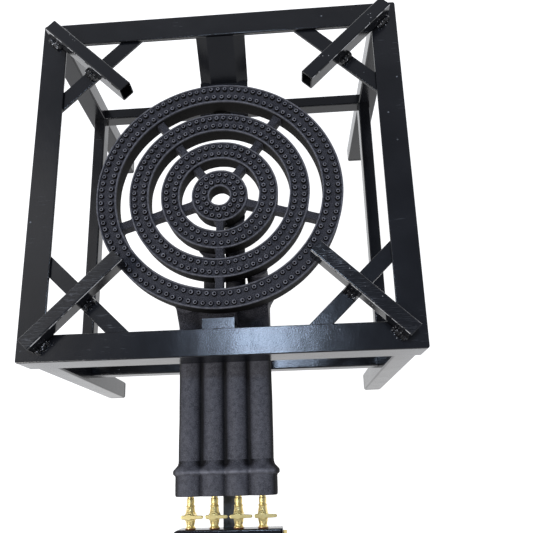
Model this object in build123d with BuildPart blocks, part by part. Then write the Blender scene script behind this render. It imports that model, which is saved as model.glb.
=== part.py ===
# Four-ring cast-iron gas burner in a welded square steel stand, with a four-tap gas rail.
# Millimetres, +Z up, -Y is the tap side. Drawn about the stand's centre, then moved back so that the
# origin lies on the floor under the middle of the whole outline, from the gas rail to the back.
import os
from math import cos, radians, sin, sqrt

from build123d import *

os.makedirs("parts", exist_ok=True)

# Stand: a mitred angle-iron top frame on four square legs with square lower rails
frame_side = 430.0
stand_height = 265.0
angle_leg = 30.0
angle_thickness = 3.0
frame_corner_radius = 3.0
leg_tube = 25.0
rail_tube = 16.0
tube_wall = 1.5
tube_corner_radius = 1.6
rail_top_height = 135.0
foot_cap_height = 5.0
foot_stub_height = 12.0
foot_corner_radius = 3.0
foot_edge_radius = 2.4
foot_clearance = 0.15

# Corner braces under the top frame and pot supports over it, all on the diagonals
brace_width = 18.0
brace_thickness = 3.0
brace_setback = 78.0
brace_overlap = 25.0
support_inner_end = 147.8
support_setback = 22.0
bead_width = 5.0
bead_rise = 3.5
corner_bead_length = 20.0

# Burner casting: rings as troughs, outermost first, each stepped down from the one outside it
ring_outer_radii = (140.5, 103.3, 67.4, 32.4)
ring_inner_radii = (117.3, 80.6, 45.6, 11.9)
boss_counts = ((100, 90), (75, 65), (45, 40), (20, 15))
burner_offset = 21.0
burner_drop = 7.0
ring_step = 3.0
ring_height = 19.0
ring_wall = 4.0
ring_rim = 2.0
ring_floor = 3.0
rim_edge_radius = 0.8
cover_depth = 1.5
cover_thickness = 4.0
cover_clearance = 0.2
boss_radius = 2.5
boss_height = 2.7
boss_row_inset = 6.2
bridge_count = 5
bridge_start_angle = 54.0
bridge_width = 9.0
bridge_height = 12.0
bridge_drop = 2.0

# Mixer tubes, from the bell mouths at the front to a riser under each ring
tube_pitch = 26.0
tube_web = 0.5  # each tube reaches this far past the line half way to its neighbour
tube_radius = tube_pitch / 2 + tube_web
tube_bore_radius = 9.5
tube_axis_drop = 59.0
riser_radius = 11.0
riser_bore_radius = 7.5
ring_fed_by_tube = (1, 3, 2, 0)
bell_reach = 105.0
bell_length = 36.0
bell_radius = 16.75
bell_lip_radius = 19.5
bell_lip_width = 4.0
bell_flare_length = 9.0
bell_mouth_radius = 11.5
neck_front_margin = 11.5
neck_rear_margin = 1.7
neck_spread = 14.0
neck_straight = 14.0
pad_half_width = 8.0
pad_length = 22.0

# Brackets that hold the burner in the top frame
bracket_thickness = 3.0
rear_bracket_width = 60.0
rear_bracket_offset = 3.0
rear_tray_width = 33.0
rear_side_fall = 7.0
rear_tab_overlap = 22.0
rear_slope_angle = 48.0
rear_foot_drop = 14.0
rear_foot_margin = 12.0
rear_lug_radius = 11.0
front_bracket_width = 34.0
front_leg_drop = 38.0

# Fasteners: hexagon bolts and pan-head screws, with one clearance for every screw hole
bolt_radius = 3.0
bolt_flats = 10.0
bolt_head = 4.0
bolt_grip = 10.0
front_bolt_rise = 24.0
nut_height = 5.0
screw_radius = 2.5
screw_head_radius = 4.5
screw_head = 2.5
screw_grip = 4.0
hole_clearance = 0.2
thread_clearance = 0.05

# Gas taps: taper plug cocks with a quarter-turn lever, one in front of each bell mouth
tap_gap = 2.0
tap_neck_length = 8.0
tap_collar_width = 1.2
plug_setback = 11.0
tap_tail_length = 13.0
neck_radius = 4.1
collar_radius = 4.9
body_radius = 5.3
barrel_radius = 5.6
barrel_depth = 8.5
barrel_rise = 7.5
gas_bore_radius = 1.6
plug_top_radius = 3.25
plug_bottom_radius = 2.65
plug_seat_depth = 3.5
plug_clearance = 0.05
stem_radius = 2.0
lever_gap = 0.7
lever_thickness = 3.0
lever_long_arm = 15.5
lever_short_arm = 8.6
lever_hub_radius = 3.6
lever_tip_radius = 1.6
lever_tail_radius = 2.2
cap_radius = 5.0
cap_thread_radius = 4.0
cap_flange = 1.5
cap_thread = 2.0
washer_outer_radius = 2.5
washer_inner_radius = 1.3
washer_height = 1.2
jet_length = 13.0
jet_shank = 6.0
jet_radius = 3.4
jet_tip_radius = 1.6
jet_orifice_radius = 0.5

# Gas rail: a closed square tube fed by a threaded brass nipple, held to the casting by a strap
rail_size = 25.0
rail_wall = 2.0
rail_left_margin = 19.0
rail_right_margin = 21.0
rail_axis_drop = 4.5
rail_end_radius = 8.0
rail_edge_radius = 2.0
tap_thread_radius = 4.0
nipple_radius = 6.58
nipple_length = 9.0
nipple_collar = 4.0
nipple_flats = 17.0
nipple_bore_radius = 3.0
strap_width = 15.0
strap_offset = 1.5
strap_thickness = 3.0
strap_screw_inset = 10.0

# Values that follow from the sizes above
half_side = frame_side / 2
flange_bottom = stand_height - angle_thickness
leg_centre = half_side - angle_thickness - leg_tube / 2
leg_inner_face = leg_centre - leg_tube / 2
rail_centre = leg_inner_face + rail_tube / 2
rail_height = rail_top_height - rail_tube / 2
flange_inner_edge = half_side - angle_leg
web_inner_face = half_side - angle_thickness
brace_distance = (2 * flange_inner_edge - brace_setback) / sqrt(2)
brace_length = brace_setback * sqrt(2) + 2 * brace_overlap
support_outer_end = half_side * sqrt(2) - support_setback
burner_axis = Axis((0, -burner_offset, 0), (0, 0, 1))
ring_tops = [stand_height - burner_drop - ring_step * index for index in range(4)]
ring_bottoms = [top - ring_height for top in ring_tops]
tube_axis_height = stand_height - tube_axis_drop
tube_places = [tube_pitch * (index - 1.5) for index in range(4)]
neck_front = -burner_offset - ring_outer_radii[0] - neck_front_margin
neck_rear = -burner_offset - ring_inner_radii[0] - neck_rear_margin
front_bolt_height = tube_axis_height + front_bolt_rise
bell_rear = -half_side - bell_reach
bell_front = bell_rear - bell_length
tap_outlet = bell_front - tap_gap
tap_collar = tap_outlet - tap_neck_length
plug_axis = tap_collar - plug_setback
barrel_bottom = tube_axis_height - barrel_depth
barrel_top = tube_axis_height + barrel_rise
rail_back = plug_axis - tap_tail_length
rail_left = tube_places[0] - rail_left_margin
rail_right = tube_places[-1] + rail_right_margin
rail_centre_height = tube_axis_height - rail_axis_drop
rail_centre_depth = rail_back - rail_size / 2
rail_bottom = rail_centre_height - rail_size / 2
strap_top = rail_bottom
outline_shift = (rail_size - rail_back - half_side) / 2
corners = {"front_left": 225, "front_right": 315, "back_right": 45, "back_left": 135}
sides = {"front": 0, "right": 90, "back": 180, "left": 270}


def finish(piece, name):
    """Move a finished piece to the origin's frame, label it and write its STEP file."""
    placed_piece = Pos(0, outline_shift, 0) * piece.part
    placed_piece.label = name
    export_step(placed_piece, f"parts/{name}.step")


def turned(plane, angle):
    """The plane turned about the stand's vertical centre line."""
    return Plane(Location((0, 0, 0), (0, 0, angle)) * plane.location)


def square_tube(plane, size, length):
    """A square tube that runs from the plane along its normal."""
    with BuildPart() as tube:
        with BuildSketch(plane):
            RectangleRounded(size, size, tube_corner_radius)
            Rectangle(size - 2 * tube_wall, size - 2 * tube_wall, mode=Mode.SUBTRACT)
        extrude(amount=length)
    return tube


# Top frame: four angle irons, mitred at the corners, flange inwards on top and web outside
for side, angle in sides.items():
    with BuildPart() as frame_angle:
        with BuildSketch(turned(Plane.YZ.offset(-half_side), angle)):
            with BuildLine():
                Polyline(
                    (-half_side, stand_height),
                    (-flange_inner_edge, stand_height),
                    (-flange_inner_edge, flange_bottom),
                    (-web_inner_face, flange_bottom),
                    (-web_inner_face, stand_height - angle_leg),
                    (-half_side, stand_height - angle_leg),
                    close=True,
                )
            make_face()
        extrude(amount=frame_side)
        with BuildSketch(turned(Plane.XY.offset(stand_height), angle)):
            RectangleRounded(frame_side, frame_side, frame_corner_radius)
            mitre = ((-half_side, -half_side), (half_side, -half_side), (0, 0))
            Polygon(*mitre, align=None, mode=Mode.INTERSECT)
        extrude(amount=-angle_leg, mode=Mode.INTERSECT)
    finish(frame_angle, f"top_frame_{side}")


# Legs: square tubes in the corners of the top frame, each on a plastic end plug
for corner, angle in corners.items():
    reach = leg_centre * sqrt(2)
    foot = (reach * cos(radians(angle)), reach * sin(radians(angle)), foot_cap_height)
    leg = square_tube(Plane(foot), leg_tube, flange_bottom - foot_cap_height)
    finish(leg, f"leg_{corner}")

with BuildPart() as leg_end_plugs:
    with BuildSketch():
        with GridLocations(2 * leg_centre, 2 * leg_centre, 2, 2):
            Rectangle(leg_tube, leg_tube)
    extrude(amount=foot_cap_height)
    fillet(leg_end_plugs.edges().filter_by(Axis.Z), radius=foot_corner_radius)
    fillet(leg_end_plugs.edges().group_by(Axis.Z)[0], radius=foot_edge_radius)
    with BuildSketch(Plane.XY.offset(foot_cap_height)):
        with GridLocations(2 * leg_centre, 2 * leg_centre, 2, 2):
            stub = leg_tube - 2 * tube_wall - 2 * foot_clearance
            Rectangle(stub, stub)
    extrude(amount=foot_stub_height)
finish(leg_end_plugs, "leg_end_plugs")


# Lower rails: square tubes between the legs, flush with the legs' inner faces
for side, angle in sides.items():
    start = Plane((-leg_inner_face, -rail_centre, rail_height), x_dir=(0, 1, 0), z_dir=(1, 0, 0))
    lower_rail = square_tube(turned(start, angle), rail_tube, 2 * leg_inner_face)
    finish(lower_rail, f"lower_rail_{side}")


# Corner braces: flat bars across the corners, welded under the flanges
for corner, angle in corners.items():
    with BuildPart() as brace:
        with BuildSketch(turned(Plane.XY.offset(flange_bottom), angle)):
            with Locations((brace_distance, 0)):
                Rectangle(brace_width, brace_length)
        extrude(amount=-brace_thickness)
    finish(brace, f"corner_brace_{corner}")


# Pot supports: square tubes on the diagonals, over the frame corners and the braces
for corner, angle in corners.items():
    start = Plane(
        (support_inner_end, 0, stand_height + rail_tube / 2), x_dir=(0, 1, 0), z_dir=(1, 0, 0)
    )
    support = square_tube(turned(start, angle), rail_tube, support_outer_end - support_inner_end)
    finish(support, f"pot_support_{corner}")


# Weld beads: fillets along both sides of each pot support, on its brace and on the frame corner
support_side = rail_tube / 2
bead_places = (
    (brace_distance - brace_width / 2, brace_width, flange_bottom),
    (support_outer_end - corner_bead_length, corner_bead_length, stand_height),
)
with BuildPart() as pot_support_welds:
    for angle in corners.values():
        for start, length, foot in bead_places:
            with BuildSketch(turned(Plane.YZ.offset(start), angle)):
                for hand in (-1, 1):
                    Polygon(
                        (hand * support_side, foot),
                        (hand * (support_side + bead_width), foot),
                        (hand * support_side, stand_height + bead_rise),
                        align=None,
                    )
            extrude(amount=length)
finish(pot_support_welds, "pot_support_welds")


# Burner rings: cast troughs with a thin rim and a ledge inside it for the cover plate
mean_radii = [(inner + outer) / 2 for inner, outer in zip(ring_inner_radii, ring_outer_radii)]
riser_places = {}
for tube_index, ring_index in enumerate(ring_fed_by_tube):
    reach = sqrt(mean_radii[ring_index] ** 2 - tube_places[tube_index] ** 2)
    riser_places[ring_index] = (tube_places[tube_index], -burner_offset - reach)

rear_lug_place = (0, mean_radii[0] - burner_offset)
rear_foot_top = ring_bottoms[0] - rear_foot_drop
ring_names = ("burner_ring_outer", "burner_ring_second", "burner_ring_third", "burner_ring_centre")
for index, name in enumerate(ring_names):
    inner, outer = ring_inner_radii[index], ring_outer_radii[index]
    top, bottom = ring_tops[index], ring_bottoms[index]
    ledge = top - cover_depth - cover_thickness
    with BuildPart() as ring:
        with BuildSketch(Plane.YZ):
            with BuildLine():
                Polyline(
                    (inner - burner_offset, bottom),
                    (outer - burner_offset, bottom),
                    (outer - burner_offset, top),
                    (outer - ring_rim - burner_offset, top),
                    (outer - ring_rim - burner_offset, ledge),
                    (outer - ring_wall - burner_offset, ledge),
                    (outer - ring_wall - burner_offset, bottom + ring_floor),
                    (inner + ring_wall - burner_offset, bottom + ring_floor),
                    (inner + ring_wall - burner_offset, ledge),
                    (inner + ring_rim - burner_offset, ledge),
                    (inner + ring_rim - burner_offset, top),
                    (inner - burner_offset, top),
                    close=True,
                )
            make_face()
        revolve(axis=burner_axis)
        fillet(ring.edges().filter_by(GeomType.CIRCLE).group_by(Axis.Z)[-1], radius=rim_edge_radius)
        with BuildSketch(Plane.XY.offset(bottom)):
            with Locations(riser_places[index]):
                Circle(riser_bore_radius)
        extrude(amount=ring_floor, mode=Mode.SUBTRACT)
        if index == 0:
            with BuildSketch(Plane.XY.offset(rear_foot_top)):
                with Locations(rear_lug_place):
                    Circle(rear_lug_radius)
            extrude(amount=rear_foot_drop)
            with BuildSketch(Plane.XY.offset(rear_foot_top)):
                with Locations(rear_lug_place):
                    Circle(bolt_radius + thread_clearance)
            extrude(amount=bolt_grip + thread_clearance, mode=Mode.SUBTRACT)
    finish(ring, name)


# Ring covers: annular plates on the ledges, with two rows of raised flame-port bosses
for index, name in enumerate(ring_names):
    seat_inner = ring_inner_radii[index] + ring_rim + cover_clearance
    seat_outer = ring_outer_radii[index] - ring_rim - cover_clearance
    seat_top = ring_tops[index] - cover_depth
    rows = (ring_outer_radii[index] - boss_row_inset, ring_inner_radii[index] + boss_row_inset)
    with BuildPart() as cover:
        with BuildSketch(Plane((0, -burner_offset, seat_top - cover_thickness))):
            Circle(seat_outer)
            Circle(seat_inner, mode=Mode.SUBTRACT)
        extrude(amount=cover_thickness)
        with BuildSketch(Plane((0, -burner_offset, seat_top))):
            for radius, count in zip(rows, boss_counts[index]):
                with PolarLocations(radius, count):
                    Circle(boss_radius)
        extrude(amount=boss_height)
    finish(cover, name.replace("ring", "cover"))


# Bridges: short cast bars that join each ring to the next one in
with BuildPart() as burner_bridges:
    for index in range(3):
        gap_outer, gap_inner = ring_inner_radii[index], ring_outer_radii[index + 1]
        with BuildSketch(Plane((0, -burner_offset, ring_tops[index + 1] - bridge_drop))):
            with PolarLocations((gap_outer + gap_inner) / 2, bridge_count, start_angle=bridge_start_angle):
                Rectangle(gap_outer - gap_inner + bridge_width, bridge_width)
            Circle(gap_outer, mode=Mode.INTERSECT)
            Circle(gap_inner, mode=Mode.SUBTRACT)
        extrude(amount=-bridge_height)
finish(burner_bridges, "burner_bridges")


# Mixer tubes: side by side under the rings, each with a closed round end and a riser
for index, ring_index in enumerate(ring_fed_by_tube):
    place = tube_places[index]
    end = riser_places[ring_index][1]
    left = tube_pitch / 2 if index > 0 else tube_radius
    right = tube_pitch / 2 if index < 3 else tube_radius
    with BuildPart() as mixer_tube:
        with BuildSketch(Plane((place, bell_rear, tube_axis_height), x_dir=(1, 0, 0), z_dir=(0, 1, 0))):
            Circle(tube_radius)
        extrude(amount=end - bell_rear)
        with Locations((place, end, tube_axis_height)):
            Sphere(tube_radius)
        with BuildSketch(Plane((place, bell_rear, tube_axis_height), x_dir=(1, 0, 0), z_dir=(0, 1, 0))):
            with Locations(((right - left) / 2, 0)):
                Rectangle(left + right, 2 * tube_radius)
        extrude(amount=end - bell_rear + tube_radius, mode=Mode.INTERSECT)
        with BuildSketch(Plane((place, end, tube_axis_height))):
            Circle(riser_radius)
        extrude(amount=ring_bottoms[ring_index] - tube_axis_height)
        with BuildSketch(Plane((place, bell_rear, tube_axis_height), x_dir=(1, 0, 0), z_dir=(0, 1, 0))):
            Circle(tube_bore_radius)
        extrude(amount=end - bell_rear, mode=Mode.SUBTRACT)
        with BuildSketch(Plane((place, end, tube_axis_height))):
            Circle(riser_bore_radius)
        extrude(amount=ring_bottoms[ring_index] - tube_axis_height, mode=Mode.SUBTRACT)
    finish(mixer_tube, f"mixer_tube_{index + 1}")


# Neck: the flared web of the casting between the tubes and the front of the outer ring
tubes_half_width = 1.5 * tube_pitch + tube_radius
with BuildPart() as burner_neck:
    with BuildSketch(Plane.XY.offset(tube_axis_height)):
        with BuildLine():
            flare_right = Spline(
                (tubes_half_width, neck_front + neck_straight),
                (tubes_half_width + neck_spread, neck_rear),
                tangents=((0, 1), (1, 0.5)),
            )
            side_right = Line((tubes_half_width, neck_front), flare_right @ 0)
            Line(flare_right @ 1, (-tubes_half_width - neck_spread, neck_rear))
            mirror(flare_right, about=Plane.YZ)
            mirror(side_right, about=Plane.YZ)
            Line((-tubes_half_width, neck_front), side_right @ 0)
        make_face()
    extrude(amount=ring_bottoms[0] - tube_axis_height)
    with BuildSketch(Plane((0, neck_front, tube_axis_height), x_dir=(1, 0, 0), z_dir=(0, 1, 0))):
        with GridLocations(tube_pitch, 0, 4, 1):
            Circle(tube_radius)
        Rectangle(2 * tubes_half_width - 2 * tube_radius, 2 * tube_radius)
    extrude(amount=neck_rear - neck_front, mode=Mode.SUBTRACT)
    with BuildSketch(Plane.XY.offset(tube_axis_height)):
        with Locations(riser_places[0]):
            Circle(riser_radius)
    extrude(amount=ring_bottoms[0] - tube_axis_height, mode=Mode.SUBTRACT)
    with BuildSketch(Plane((0, neck_front, front_bolt_height), x_dir=(1, 0, 0), z_dir=(0, 1, 0))):
        Circle(bolt_radius + thread_clearance)
    extrude(amount=bolt_grip + thread_clearance, mode=Mode.SUBTRACT)
finish(burner_neck, "burner_neck")


# Bell mouths: one block with four flared air inlets, a raised lip and a pad for the strap
with BuildPart() as bell_mouth_block:
    lip_front = bell_rear - bell_flare_length
    for place in tube_places:
        with BuildSketch(Plane.XY.offset(tube_axis_height)):
            Polygon(
                (place, bell_rear),
                (place + tube_radius, bell_rear),
                (place + bell_lip_radius, lip_front),
                (place + bell_lip_radius, lip_front - bell_lip_width),
                (place + bell_radius, lip_front - bell_lip_width),
                (place + bell_radius, bell_front),
                (place, bell_front),
                align=None,
            )
        revolve(axis=Axis((place, 0, tube_axis_height), (0, 1, 0)))
    with BuildSketch(Plane.XY.offset(strap_top)):
        with Locations((strap_offset, bell_front + pad_length / 2)):
            Rectangle(2 * pad_half_width, pad_length)
    extrude(amount=tube_axis_height - strap_top)
    for place in tube_places:
        with BuildSketch(Plane.XY.offset(tube_axis_height)):
            Polygon(
                (place, bell_rear),
                (place + tube_bore_radius, bell_rear),
                (place + bell_mouth_radius, bell_front),
                (place, bell_front),
                align=None,
            )
        revolve(axis=Axis((place, 0, tube_axis_height), (0, 1, 0)), mode=Mode.SUBTRACT)
    with BuildSketch(Plane((strap_offset, bell_front + strap_screw_inset, strap_top))):
        Circle(screw_radius + thread_clearance)
    extrude(amount=screw_grip + thread_clearance, mode=Mode.SUBTRACT)
finish(bell_mouth_block, "bell_mouth_block")


# Rear bracket: a tab under the back flange, a slope with folded sides, a foot under the outer ring
slope_top = -flange_inner_edge
slope_drop = flange_bottom - rear_foot_top
slope_run = slope_drop / sin(radians(rear_slope_angle)) * cos(radians(rear_slope_angle))
foot_rear = flange_inner_edge - slope_run
foot_front = rear_lug_place[1] - rear_foot_margin
slope_length = slope_drop / sin(radians(rear_slope_angle))
sheet_run = bracket_thickness * sin(radians(rear_slope_angle))
with BuildPart() as rear_bracket:
    with BuildSketch(Plane.YZ.offset(rear_bracket_offset - rear_tray_width / 2)):
        with BuildLine():
            Polyline(
                (flange_inner_edge + rear_tab_overlap, flange_bottom),
                (flange_inner_edge, flange_bottom),
                (foot_rear, rear_foot_top),
                (foot_rear, rear_foot_top - bracket_thickness),
                (foot_rear + sheet_run, rear_foot_top - bracket_thickness),
                (flange_inner_edge + sheet_run, flange_bottom - bracket_thickness),
                (flange_inner_edge + rear_tab_overlap, flange_bottom - bracket_thickness),
                close=True,
            )
        make_face()
    extrude(amount=rear_tray_width)
    side_reach = (rear_bracket_width - rear_tray_width) / 2
    slope_plane = Plane(
        (rear_bracket_offset, flange_inner_edge, flange_bottom),
        x_dir=(1, 0, 0),
        z_dir=(0, -cos(radians(rear_slope_angle)), -sin(radians(rear_slope_angle))),
    )
    with BuildSketch(slope_plane):
        for hand in (-1, 1):
            inner_edge = hand * rear_tray_width / 2
            outer_edge = hand * rear_bracket_width / 2
            Polygon(
                (inner_edge, 0),
                (outer_edge, -rear_side_fall),
                (outer_edge, -rear_side_fall - bracket_thickness),
                (inner_edge, -bracket_thickness),
                align=None,
            )
    extrude(amount=slope_length)
    with BuildSketch(Plane.XY.offset(rear_foot_top)):
        with Locations((rear_bracket_offset, (foot_front + foot_rear + sheet_run) / 2)):
            Rectangle(rear_bracket_width, foot_rear + sheet_run - foot_front)
    extrude(amount=-bracket_thickness)
    with BuildSketch(Plane((*rear_lug_place, rear_foot_top))):
        Circle(bolt_radius + hole_clearance)
    extrude(amount=-bracket_thickness, mode=Mode.SUBTRACT)
finish(rear_bracket, "rear_burner_bracket")


# Front bracket: an angle plate under the front flange with a leg bolted to the neck
with BuildPart() as front_bracket:
    with BuildSketch(Plane.YZ.offset(-front_bracket_width / 2)):
        with BuildLine():
            Polyline(
                (-flange_inner_edge - rear_tab_overlap, flange_bottom),
                (neck_front, flange_bottom),
                (neck_front, flange_bottom - front_leg_drop),
                (neck_front - bracket_thickness, flange_bottom - front_leg_drop),
                (neck_front - bracket_thickness, flange_bottom - bracket_thickness),
                (-flange_inner_edge - rear_tab_overlap, flange_bottom - bracket_thickness),
                close=True,
            )
        make_face()
    extrude(amount=front_bracket_width)
    with BuildSketch(Plane((0, neck_front, front_bolt_height), x_dir=(1, 0, 0), z_dir=(0, -1, 0))):
        Circle(bolt_radius + hole_clearance)
    extrude(amount=bracket_thickness, mode=Mode.SUBTRACT)
finish(front_bracket, "front_burner_bracket")


# Burner bolts: hexagon heads outside the brackets, shanks screwed into the casting
def hexagon_bolt(seat):
    """A hexagon bolt with its head on the seat plane and its shank going back through it."""
    with BuildPart() as bolt:
        with BuildSketch(seat):
            RegularPolygon(bolt_flats / 2, 6, major_radius=False)
        extrude(amount=bolt_head)
        with BuildSketch(seat):
            Circle(bolt_radius)
        extrude(amount=-bracket_thickness - bolt_grip + hole_clearance)
    return bolt


rear_seat = Plane((*rear_lug_place, rear_foot_top - bracket_thickness), x_dir=(1, 0, 0), z_dir=(0, 0, -1))
finish(hexagon_bolt(rear_seat), "rear_burner_bolt")
front_seat = Plane((0, neck_front - bracket_thickness, front_bolt_height), x_dir=(1, 0, 0), z_dir=(0, -1, 0))
finish(hexagon_bolt(front_seat), "front_burner_bolt")


# Gas taps: turned brass bodies with a vertical barrel that holds the taper plug
for index, place in enumerate(tube_places):
    tap_axis = Axis((place, 0, tube_axis_height), (0, 1, 0))
    with BuildPart() as tap_body:
        with BuildSketch(Plane.XY.offset(tube_axis_height)):
            Polygon(
                (place, tap_outlet),
                (place + neck_radius, tap_outlet),
                (place + neck_radius, tap_collar),
                (place + collar_radius, tap_collar),
                (place + collar_radius, tap_collar - tap_collar_width),
                (place + neck_radius, tap_collar - tap_collar_width),
                (place + body_radius, plug_axis + collar_radius),
                (place + body_radius, plug_axis - collar_radius),
                (place + neck_radius, plug_axis - 2 * neck_radius),
                (place + neck_radius + tap_collar_width, rail_back + tap_collar_width),
                (place + neck_radius + tap_collar_width, rail_back),
                (place + tap_thread_radius, rail_back),
                (place + tap_thread_radius, rail_back - rail_wall),
                (place, rail_back - rail_wall),
                align=None,
            )
        revolve(axis=tap_axis)
        with BuildSketch(Plane((place, plug_axis, barrel_bottom))):
            Circle(barrel_radius)
        extrude(amount=barrel_top - barrel_bottom)
        tap_tail = (place, rail_back - rail_wall, tube_axis_height)
        with BuildSketch(Plane(tap_tail, x_dir=(1, 0, 0), z_dir=(0, 1, 0))):
            Circle(gas_bore_radius)
        extrude(amount=tap_outlet - rail_back + rail_wall, mode=Mode.SUBTRACT)
        with BuildSketch(Plane((place, plug_axis, barrel_bottom))):
            Circle(cap_thread_radius)
        extrude(amount=plug_seat_depth, mode=Mode.SUBTRACT)
        with BuildSketch(Plane((place, plug_axis, barrel_bottom + plug_seat_depth))):
            Circle(plug_bottom_radius + plug_clearance)
        with BuildSketch(Plane((place, plug_axis, barrel_top))):
            Circle(plug_top_radius + plug_clearance)
        loft(mode=Mode.SUBTRACT)
    finish(tap_body, f"tap_body_{index + 1}")

    with BuildPart() as tap_plug:
        with BuildSketch(Plane((place, plug_axis, barrel_bottom + plug_seat_depth))):
            Circle(plug_bottom_radius)
        with BuildSketch(Plane((place, plug_axis, barrel_top))):
            Circle(plug_top_radius)
        loft()
        with BuildSketch(Plane((place, plug_axis, barrel_top))):
            Circle(stem_radius)
        extrude(amount=lever_gap + lever_thickness)
        with BuildSketch(Plane((place, plug_axis, tube_axis_height), x_dir=(0, 1, 0), z_dir=(1, 0, 0))):
            Circle(gas_bore_radius - plug_clearance)
        extrude(amount=plug_top_radius, both=True, mode=Mode.SUBTRACT)
    finish(tap_plug, f"tap_plug_{index + 1}")

    with BuildPart() as tap_lever:
        with BuildSketch(Plane((place, plug_axis, barrel_top + lever_gap))):
            Circle(lever_hub_radius)
            with Locations((lever_long_arm - lever_tip_radius, 0)):
                Circle(lever_tip_radius)
            with Locations((lever_tail_radius - lever_short_arm, 0)):
                Circle(lever_tail_radius)
            Polygon(
                (lever_tail_radius - lever_short_arm, -lever_tail_radius),
                (0, -lever_tail_radius),
                (lever_long_arm - lever_tip_radius, -lever_tip_radius),
                (lever_long_arm - lever_tip_radius, lever_tip_radius),
                (0, lever_tail_radius),
                (lever_tail_radius - lever_short_arm, lever_tail_radius),
                align=None,
            )
            Circle(stem_radius, mode=Mode.SUBTRACT)
        extrude(amount=lever_thickness)
    finish(tap_lever, f"tap_lever_{index + 1}")


# Under each plug: a spring washer and the screwed cap that closes the barrel
washer_bottom = barrel_bottom + plug_seat_depth - plug_clearance - washer_height
with BuildPart() as tap_spring_washers:
    for place in tube_places:
        with BuildSketch(Plane((place, plug_axis, washer_bottom))):
            Circle(washer_outer_radius)
            Circle(washer_inner_radius, mode=Mode.SUBTRACT)
        extrude(amount=washer_height)
finish(tap_spring_washers, "tap_spring_washers")

with BuildPart() as tap_bottom_caps:
    for place in tube_places:
        with BuildSketch(Plane((place, plug_axis, barrel_bottom))):
            Circle(cap_radius)
        extrude(amount=-cap_flange)
        with BuildSketch(Plane((place, plug_axis, barrel_bottom))):
            Circle(cap_thread_radius - thread_clearance)
        extrude(amount=cap_thread)
finish(tap_bottom_caps, "tap_bottom_caps")


# Gas jets: brass injectors on the tap outlets, pointing into the bell mouths
with BuildPart() as gas_jets:
    for place in tube_places:
        with BuildSketch(Plane.XY.offset(tube_axis_height)):
            Polygon(
                (place + jet_orifice_radius, tap_outlet),
                (place + jet_radius, tap_outlet),
                (place + jet_radius, tap_outlet + jet_shank),
                (place + jet_tip_radius, tap_outlet + jet_length),
                (place + jet_orifice_radius, tap_outlet + jet_length),
                align=None,
            )
        revolve(axis=Axis((place, 0, tube_axis_height), (0, 1, 0)))
finish(gas_jets, "gas_jets")


# Gas rail: closed square tube, rounded at the left end, tapped for the taps and the nipple
rail_length = rail_right - rail_left
with BuildPart() as gas_rail:
    with BuildSketch(Plane(((rail_left + rail_right) / 2, rail_centre_depth, rail_bottom))):
        Rectangle(rail_length, rail_size)
    extrude(amount=rail_size)
    fillet(gas_rail.edges().filter_by(Axis.Z).group_by(Axis.X)[0], radius=rail_end_radius)
    fillet(gas_rail.edges().filter_by(Axis.X), radius=rail_edge_radius)
    with BuildSketch(Plane(((rail_left + rail_right) / 2, rail_centre_depth, rail_bottom + rail_wall))):
        Rectangle(rail_length - 2 * rail_end_radius, rail_size - 2 * rail_wall)
        with Locations(((rail_end_radius - rail_wall) / 2, 0)):
            Rectangle(rail_length - rail_wall - rail_end_radius, rail_size - 2 * rail_wall)
    extrude(amount=rail_size - 2 * rail_wall, mode=Mode.SUBTRACT)
    with BuildSketch(Plane((0, rail_back, tube_axis_height), x_dir=(1, 0, 0), z_dir=(0, -1, 0))):
        with GridLocations(tube_pitch, 0, 4, 1):
            Circle(tap_thread_radius + thread_clearance)
    extrude(amount=rail_wall, mode=Mode.SUBTRACT)
    rail_end = (rail_right, rail_centre_depth, rail_centre_height)
    with BuildSketch(Plane(rail_end, x_dir=(0, 1, 0), z_dir=(-1, 0, 0))):
        Circle(nipple_radius + thread_clearance)
    extrude(amount=rail_wall, mode=Mode.SUBTRACT)
    with BuildSketch(Plane((strap_offset, rail_centre_depth, rail_bottom))):
        Circle(screw_radius + thread_clearance)
    extrude(amount=rail_wall, mode=Mode.SUBTRACT)
finish(gas_rail, "gas_rail")


# Inlet nipple: a hexagon collar on the end of the rail and a threaded stub for the hose
with BuildPart() as gas_inlet_nipple:
    face = Plane(rail_end, x_dir=(0, 1, 0), z_dir=(1, 0, 0))
    with BuildSketch(face):
        RegularPolygon(nipple_flats / 2, 6, major_radius=False)
    extrude(amount=nipple_collar)
    with BuildSketch(face.offset(-rail_wall)):
        Circle(nipple_radius)
    extrude(amount=rail_wall + nipple_collar + nipple_length)
    with BuildSketch(face.offset(-rail_wall)):
        Circle(nipple_bore_radius)
    extrude(amount=rail_wall + nipple_collar + nipple_length, mode=Mode.SUBTRACT)
finish(gas_inlet_nipple, "gas_inlet_nipple")


# Rail strap: a flat bar under the casting's pad and under the gas rail, with two screws
screw_rows = (bell_front + strap_screw_inset, rail_centre_depth)
strap_rear = bell_front + pad_length
strap_front = rail_centre_depth - strap_screw_inset
with BuildPart() as rail_strap:
    with BuildSketch(Plane.XY.offset(strap_top)):
        with Locations((strap_offset, (strap_rear + strap_front) / 2)):
            Rectangle(strap_width, strap_rear - strap_front)
        with Locations([(strap_offset, row) for row in screw_rows]):
            Circle(screw_radius + hole_clearance, mode=Mode.SUBTRACT)
    extrude(amount=-strap_thickness)
finish(rail_strap, "rail_strap")

with BuildPart() as strap_screws:
    for row in screw_rows:
        grip = screw_grip if row == screw_rows[0] else rail_wall
        with BuildSketch(Plane((strap_offset, row, strap_top - strap_thickness))):
            Circle(screw_head_radius)
        extrude(amount=-screw_head)
        with BuildSketch(Plane((strap_offset, row, strap_top - strap_thickness))):
            Circle(screw_radius)
        extrude(amount=strap_thickness + grip)
finish(strap_screws, "strap_screws")
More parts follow.
